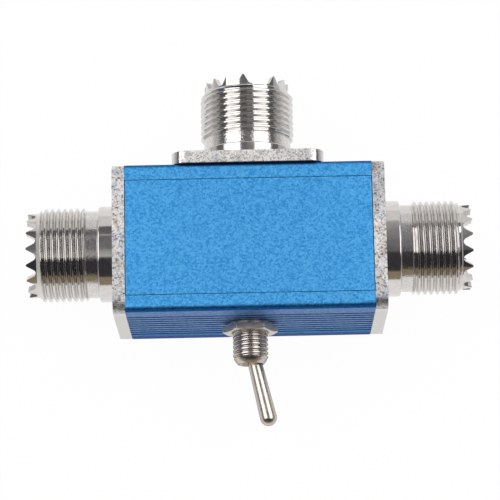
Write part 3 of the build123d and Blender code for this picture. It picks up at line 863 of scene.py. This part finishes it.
class COAX_OT_dress_port_cores(Operator):
    """Finish the insulators, centre contacts and flange screws of the ports"""

    bl_idname = "coax.dress_port_cores"
    bl_label = "Dress the port cores"

    def execute(self, context):
        colours = context.scene.coax_colours
        insulator = moulded("waxy_white_insulator", colours.insulator, 0.42, 1500, 0.15)
        contact = plated("silver_plating", colours.silver, 0.16)
        screw = plated("bright_zinc", colours.zinc, 0.24)
        for side in PORTS:
            dress(f"{side}_port_insulator", insulator)
            dress(f"{side}_port_contact", contact)
            dress(f"{side}_flange_screws", screw)
        return {"FINISHED"}


# ---- the toggle


def toggle_nickel(context):
    """The plating that bushing and lever share, made once."""
    name, colour = "toggle_nickel", context.scene.coax_colours.toggle_nickel
    return bpy.data.materials.get(name) or turned_nickel(
        name, colour, 0.12, 0.20, 0.32, Specular_Tint=(0.42, 0.40, 0.38, 1.0)
    )


class COAX_OT_build_bushing(Operator):
    """Build the threaded toggle bushing with its rounded mouth and ball seat"""

    bl_idname = "coax.build_bushing"
    bl_label = "Build the toggle bushing"

    def execute(self, context):
        size = in_mm(context.scene.coax_toggle)
        shape = Shape()
        columns, foot = 128, -2.0
        radius, reach, pitch = size.bushing_radius, size.bushing_length, size.bushing_pitch

        def mouth(station):
            into = max(0.0, station - (reach - size.mouth_length)) / size.mouth_length
            lead_in = radius + station - foot - 0.3
            return min(radius - size.mouth_drop * into**2, lead_in)

        profile = thread_profile(pitch, 0.30, 0.10, 0.10, 0.05)
        start, end = thread(shape, columns, radius, pitch, (foot, reach), profile, mouth)
        ball_seat, lip_height = 2.25, 1.65
        mouth_bore, rear_bore, rear_rim, rear = 2.107, 2.521, 2.871, -2.6
        lip = math.sqrt(ball_seat**2 - lip_height**2)
        walls = [(mouth_bore, reach - 0.02), (lip, PIVOT + lip_height)]
        for i in range(1, 7):
            height = lip_height * (1 - i / 6)
            walls.append((math.sqrt(ball_seat**2 - height**2), PIVOT + height))
        walls += [(ball_seat, 0.0), (rear_bore, rear), (rear_rim, rear), (rear_rim, foot)]
        inside = [shape.circle(wall, station, columns) for wall, station in walls]
        shape.bands([end, *inside, start])
        metal = toggle_nickel(context)
        piece = shape.finish("threaded_bushing", local_frame(TOGGLE), [metal])
        groove = Shape()
        half_width, sides = 0.52, (-2.5, 2.5)
        outline = [(-half_width, foot - 0.7), (half_width, foot - 0.7)]
        outline += [
            (half_width * math.cos(a), PIVOT + half_width * math.sin(a))
            for a in (math.pi * i / 12 for i in range(13))
        ]
        ends = [[groove.mesh.verts.new((x, y, z)) for x, z in outline] for y in sides]
        groove.band(*ends)
        for end in ends:
            groove.face(end)
        carve(piece, groove.finish("pin_groove", local_frame(TOGGLE), [metal]))
        square_up(piece)
        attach(piece, "housing")
        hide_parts("toggle_bushing")
        return {"FINISHED"}


class COAX_OT_build_nut(Operator):
    """Build the chamfered hex nut that holds the toggle in the wall"""

    bl_idname = "coax.build_nut"
    bl_label = "Build the hex nut"

    def execute(self, context):
        size = in_mm(context.scene.coax_toggle)
        flat, thickness = size.nut_across_flats / 2, size.nut_thickness
        hole = size.bushing_radius + 0.02
        corner, slope = 0.22, math.tan(math.radians(22))
        face_radius, boss_radius, boss = 4.128, 3.75, 0.5
        inner_flat = flat - corner
        half = inner_flat * math.tan(math.pi / 6)
        outline = []
        for side in range(6):
            turn = Matrix.Rotation((side + 0.5) * math.pi / 3, 2)
            for i in range(9):
                outline.append(turn @ Vector((flat, half * (i / 4 - 1))))
            for i in range(1, 5):
                angle = math.pi / 3 * i / 5
                arc = corner * Vector((math.cos(angle), math.sin(angle)))
                outline.append(turn @ (Vector((inner_flat, half)) + arc))

        def section(reach):
            """(radius, station) around the metal where the hexagon reaches so far."""
            top = thickness - max(0.0, reach - face_radius) * slope
            face = min(reach, face_radius)
            wall_side = [(hole, 0.15), (hole + 0.15, 0.0), (boss_radius - 0.04, 0.0)]
            step = [(boss_radius, 0.04), (boss_radius, boss), (reach - 0.05, boss)]
            outside = [(reach, boss + 0.05), (reach, top - 0.07), (reach - 0.02, top - 0.02)]
            crown = [(face + 0.02, thickness - 0.03), (face - 0.06, thickness)]
            mouth = [(hole + 0.3, thickness), (hole, thickness - 0.3)]
            return wall_side + step + outside + crown + mouth

        shape = Shape()
        angles = [math.atan2(point.y, point.x) for point in outline]
        rings = [
            shape.ring([(angle, *place) for angle, place in zip(angles, places)])
            for places in zip(*(section(point.length) for point in outline))
        ]
        shape.bands([*rings, rings[0]])
        metal = plated("nut_nickel", context.scene.coax_colours.toggle_nickel, 0.36, 1900, 0.1)
        piece = shape.finish("chamfered_hex_nut", local_frame(TOGGLE), [metal], 50.0)
        square_up(piece)
        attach(piece, "housing")
        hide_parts("hex_nut")
        return {"FINISHED"}


class COAX_OT_build_lever(Operator):
    """Build the toggle lever: bat, ball, trunnions and the bored arm inside"""

    bl_idname = "coax.build_lever"
    bl_label = "Build the toggle lever"

    def execute(self, context):
        size = in_mm(context.scene.coax_toggle)
        root, tip, length = size.lever_root_radius, size.lever_tip_radius, size.lever_length
        ball, neck, neck_end = 2.2, 1.0, 2.4
        arm, arm_end, bore, bore_end = 0.95, -8.2, 0.6, -3.4
        on_axis, bat_start = 0.001, 2.85
        profile = [(on_axis, bore_end), (bore, bore_end), (bore, arm_end), (arm - 0.1, arm_end)]
        profile += [(arm, arm_end + 0.1), (arm, -math.sqrt(ball**2 - arm**2))]
        start, stop = math.asin(arm / ball), math.pi - math.asin(neck / ball)
        for i in range(1, 16):
            angle = start + (stop - start) * i / 15
            profile.append((ball * math.sin(angle), -ball * math.cos(angle)))
        profile += [(neck, neck_end), (neck + 0.08, neck_end + 0.1)]
        profile += [(root - 0.04, bat_start - 0.11), (root, bat_start)]
        centre = length - tip
        for i in range(1, 7):
            share = i / 7
            station = bat_start + (centre - bat_start) * share
            profile.append((root + (tip - root) * share, station))
        for i in range(14):
            angle = math.pi / 2 * i / 14
            profile.append((tip * math.cos(angle), centre + tip * math.sin(angle)))
        profile.append((on_axis, length))
        shape = Shape()
        shape.bands([shape.circle(radius, station, 72) for radius, station in profile])
        pin_radius, pin_reach = 0.5, 2.45
        pin_ends = []
        for y in (-pin_reach, pin_reach):
            pin_ends.append(shape.circle(pin_radius, 0.0, 24))
            for vertex in pin_ends[-1]:
                vertex.co = (vertex.co.x, y, vertex.co.y)
        shape.band(*pin_ends)
        for end in pin_ends:
            shape.face(end)
        origin, outward = TOGGLE
        pivot = Matrix.Translation(Vector(origin) + Vector(outward) * PIVOT)
        lean = Matrix.Rotation(math.radians(12.6), 4, "Z")
        place = pivot @ lean @ local_frame(((0, 0, 0), outward))
        piece = shape.finish("bat_lever", place, [toggle_nickel(context)])
        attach(piece, "lever")
        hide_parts("toggle_lever")
        return {"FINISHED"}


class COAX_OT_dress_switch_works(Operator):
    """Finish the washer, frame, case, terminals, rocker, plunger, spring, wires and solder"""

    bl_idname = "coax.dress_switch_works"
    bl_label = "Dress the switch works"

    def execute(self, context):
        colours = context.scene.coax_colours
        zinc = bpy.data.materials.get("bright_zinc") or plated("bright_zinc", colours.zinc, 0.24)
        silver = plated("silver_terminal", colours.silver, 0.2, 3000)
        copper = drawn_wire("tinned_wire", (0.70, 0.67, 0.63), 0.25)
        for material, nodes in (
            (zinc, ["lock_washer", "toggle_frame"]),
            (moulded("dull_red_phenolic", colours.phenolic, 0.5), ["toggle_case"]),
            (silver, ["left_terminal", "common_terminal", "right_terminal", "rocker_contact"]),
            (moulded("white_nylon", (0.82, 0.81, 0.76), 0.3, 2600, 0.1), ["plunger"]),
            (drawn_wire("spring_wire", (0.42, 0.42, 0.43), 0.3), ["plunger_spring"]),
            (copper, [f"{side}_wire" for side in PORTS]),
            (plated("solder", (0.60, 0.61, 0.62), 0.18, 1400, 0.14), ["solder_joints"]),
        ):
            for node in nodes:
                dress(node, material)
        return {"FINISHED"}


# ---- the stage


def seen_by(nodes, *rays):
    """One where any of these kinds of ray looks, and nought elsewhere."""
    path = nodes.add("LightPath").outputs
    total = path[rays[0]]
    for ray in rays[1:]:
        total = nodes.reckon("MAXIMUM", total, path[ray])
    return total


# Rays that look at the room, as against those that gather its light.
SIGHT = ("Is Camera Ray", "Is Glossy Ray", "Is Transmission Ray")


def sheet(name, corners, finish=None):
    """A flat sheet with an empty material; returns it and the material's nodes."""
    data = bpy.data.meshes.new(name)
    data.from_pydata(corners, [], [(0, 1, 2, 3)])
    made = bpy.data.objects.new(name, data)
    bpy.context.scene.collection.objects.link(made)
    material = bpy.data.materials.new(finish or name)
    data.materials.append(material)
    return made, Nodes(material, bare=True)


def card(name, corners, near, far=None):
    """A studio card that only shows in reflections, shaded from its near to its far side."""
    made, nodes = sheet(name, corners)
    layer = made.data.color_attributes.new("shade", "FLOAT_COLOR", "POINT")
    for point, tone in zip(layer.data, (near, near, far or near, far or near)):
        point.color = (*tone, 1.0)
    tone = nodes.add("Attribute", {"attribute_name": "shade"})
    glow = nodes.add("Emission", Color=tone.outputs["Color"])
    nodes.add("OutputMaterial", Surface=glow.outputs[0])
    for ray in ("camera", "diffuse", "shadow", "transmission"):
        setattr(made, f"visible_{ray}", False)


def across(left, right, near, far):
    """Corners between two lines along X, each at its (y, z)."""
    return [(left, *near), (right, *near), (right, *far), (left, *far)]


def hang_softboxes():
    """Two lamps above the switch, to the left and right, tilted towards it."""
    width, depth, radiance = 0.44, 0.74, 2.0
    for side, sign in (("left", -1), ("right", 1)):
        lamp = bpy.data.lights.new(f"{side}_softbox", "AREA")
        lamp.shape = "RECTANGLE"
        lamp.size, lamp.size_y = width, depth
        lamp.energy = radiance * math.pi * width * depth
        made = bpy.data.objects.new(lamp.name, lamp)
        made.location = (sign * 0.37, 0.15, 0.49)
        made.rotation_euler = (0.0, sign * math.radians(37), 0.0)
        made.visible_camera = False
        bpy.context.scene.collection.objects.link(made)


def lay_floor():
    """Pale paper, white in view; its reflection fades out to both sides of the switch."""
    reach = 4.0
    corners = across(-reach, reach, (-reach, 0), (reach, 0))
    floor, nodes = sheet("floor", corners, "pale_paper")
    matt = nodes.add("BsdfDiffuse", Color=(0.92, 0.92, 0.92, 1.0))
    place = nodes.add("NewGeometry").outputs["Position"]
    from_middle = nodes.reckon("ABSOLUTE", nodes.add("SeparateXYZ", Vector=place).outputs["X"])
    fade = nodes.spread(from_middle, 0.98, 0.58, 0.045, 0.11)
    strength = nodes.reckon("MAXIMUM", fade, seen_by(nodes, "Is Camera Ray"))
    glow = nodes.add("Emission", Strength=strength)
    share = nodes.reckon("MULTIPLY", seen_by(nodes, *SIGHT), 0.97)
    blend = nodes.add("MixShader", Fac=share)
    nodes.feed(matt.outputs[0], blend.inputs[1])
    nodes.feed(glow.outputs[0], blend.inputs[2])
    nodes.add("OutputMaterial", Surface=blend.outputs[0])


def light_room(scene):
    """A white room, dimmer for the light it gives than for what looks at it."""
    scene.world = scene.world or bpy.data.worlds.new("white_room")
    nodes = Nodes(scene.world, bare=True)
    strength = nodes.spread(seen_by(nodes, *SIGHT), 0.45, 1.0, 0.0, 1.0)
    sky = nodes.add("Background", Strength=strength)
    nodes.add("OutputWorld", Surface=sky.outputs[0])


def hang_cards():
    """The dark ceiling and walls of the studio, as the polished nickel shows them."""
    wide, top, front, back = 1.3, 0.72, -0.26, 1.18
    edge, lip, knee, foot = (front, top), (back, top), (-0.6, 0.26), (-0.62, 0.0)
    charcoal, black, olive = (0.15, 0.15, 0.155), (0.045, 0.042, 0.05), (0.30, 0.25, 0.175)
    left, right = across(-wide, 0, edge, lip), across(0, wide, edge, lip)
    card("left_ceiling_card", left, (0.22, 0.22, 0.225), (0.11, 0.11, 0.115))
    card("right_ceiling_card", right, (0.11, 0.11, 0.12), (0.50, 0.50, 0.50))
    patch = across(-0.2, -0.03, (-0.22, 0.7), (0.01, 0.7))
    card("pale_patch_card", patch, (0.6, 0.59, 0.58), (0.3, 0.3, 0.3))
    card("front_card", across(-wide, wide, edge, knee), black)
    card("low_front_card", across(-wide, wide, knee, foot), olive)
    side_cards = (("low", 0.0, 0.19, (0.55, 0.54, 0.53)), ("high", 0.19, top, charcoal))
    for name, x in (("left", -1.0), ("right", 1.0)):
        for part, low, high, tone in side_cards:
            corners = [(x, -0.6, low), (x, 0.8, low), (x, 0.8, high), (x, -0.6, high)]
            card(f"{name}_{part}_side_card", corners, tone)
    gap = across(-wide, -0.02, (0.46, 0.7), (0.505, 0.7))
    card("light_gap_card", gap, (0.6, 0.58, 0.56))


def set_camera(scene):
    """A long lens over the switch, looking down at it and a little from the toggle's side."""
    lens = bpy.data.cameras.new("camera")
    lens.sensor_fit, lens.sensor_width, lens.lens = "HORIZONTAL", 36.0, 178.575
    lens.clip_start, lens.clip_end = 0.01, 50.0
    camera = bpy.data.objects.new("camera", lens)
    tilt, lean, roll = -0.225030459, -0.00150885753, 0.0197476937
    turn = Matrix.Rotation
    to_camera = turn(roll, 3, "Z") @ turn(tilt, 3, "X") @ turn(lean, 3, "Y")
    camera.matrix_world = to_camera.transposed().to_4x4()
    camera.location = (0.0006976, -0.0938947, 0.4242014)
    scene.collection.objects.link(camera)
    scene.camera = camera
    scene.view_settings.view_transform = "Standard"


class COAX_OT_set_stage(Operator):
    """Lay the pale floor, light the room, hang the dark cards and set the camera"""

    bl_idname = "coax.set_stage"
    bl_label = "Set the stage"

    def execute(self, context):
        lay_floor()
        light_room(context.scene)
        hang_softboxes()
        hang_cards()
        set_camera(context.scene)
        return {"FINISHED"}


# ---- panel and main


OPERATORS = (
    COAX_OT_set_stage,
    COAX_OT_dress_box,
    COAX_OT_build_port_shells,
    COAX_OT_dress_port_cores,
    COAX_OT_build_bushing,
    COAX_OT_build_nut,
    COAX_OT_build_lever,
    COAX_OT_dress_switch_works,
)


class COAX_PT_sidebar(Panel):
    """Lists the pieces of the switch in the order they are built"""

    bl_idname = "COAX_PT_sidebar"
    bl_label = "Antenna switch"
    bl_space_type = "VIEW_3D"
    bl_region_type = "UI"
    bl_category = "Antenna switch"

    def draw(self, context):
        layout, scene = self.layout, context.scene
        for operator in OPERATORS:
            layout.operator(operator.bl_idname)
        for group in (scene.coax_port, scene.coax_toggle, scene.coax_colours):
            box = layout.box()
            for name in group.bl_rna.properties.keys():
                if name not in {"rna_type", "name"}:
                    box.prop(group, name)


CLASSES = (PortSizes, ToggleSizes, FinishColours, *OPERATORS, COAX_PT_sidebar)


def register():
    for cls in CLASSES:
        bpy.utils.register_class(cls)
    bpy.types.Scene.coax_port = PointerProperty(type=PortSizes)
    bpy.types.Scene.coax_toggle = PointerProperty(type=ToggleSizes)
    bpy.types.Scene.coax_colours = PointerProperty(type=FinishColours)


def unregister():
    del bpy.types.Scene.coax_colours
    del bpy.types.Scene.coax_toggle
    del bpy.types.Scene.coax_port
    for cls in reversed(CLASSES):
        bpy.utils.unregister_class(cls)


def main():
    register()
    for operator in OPERATORS:
        getattr(bpy.ops.coax, operator.bl_idname.split(".")[1])()


if __name__ == "__main__":
    main()
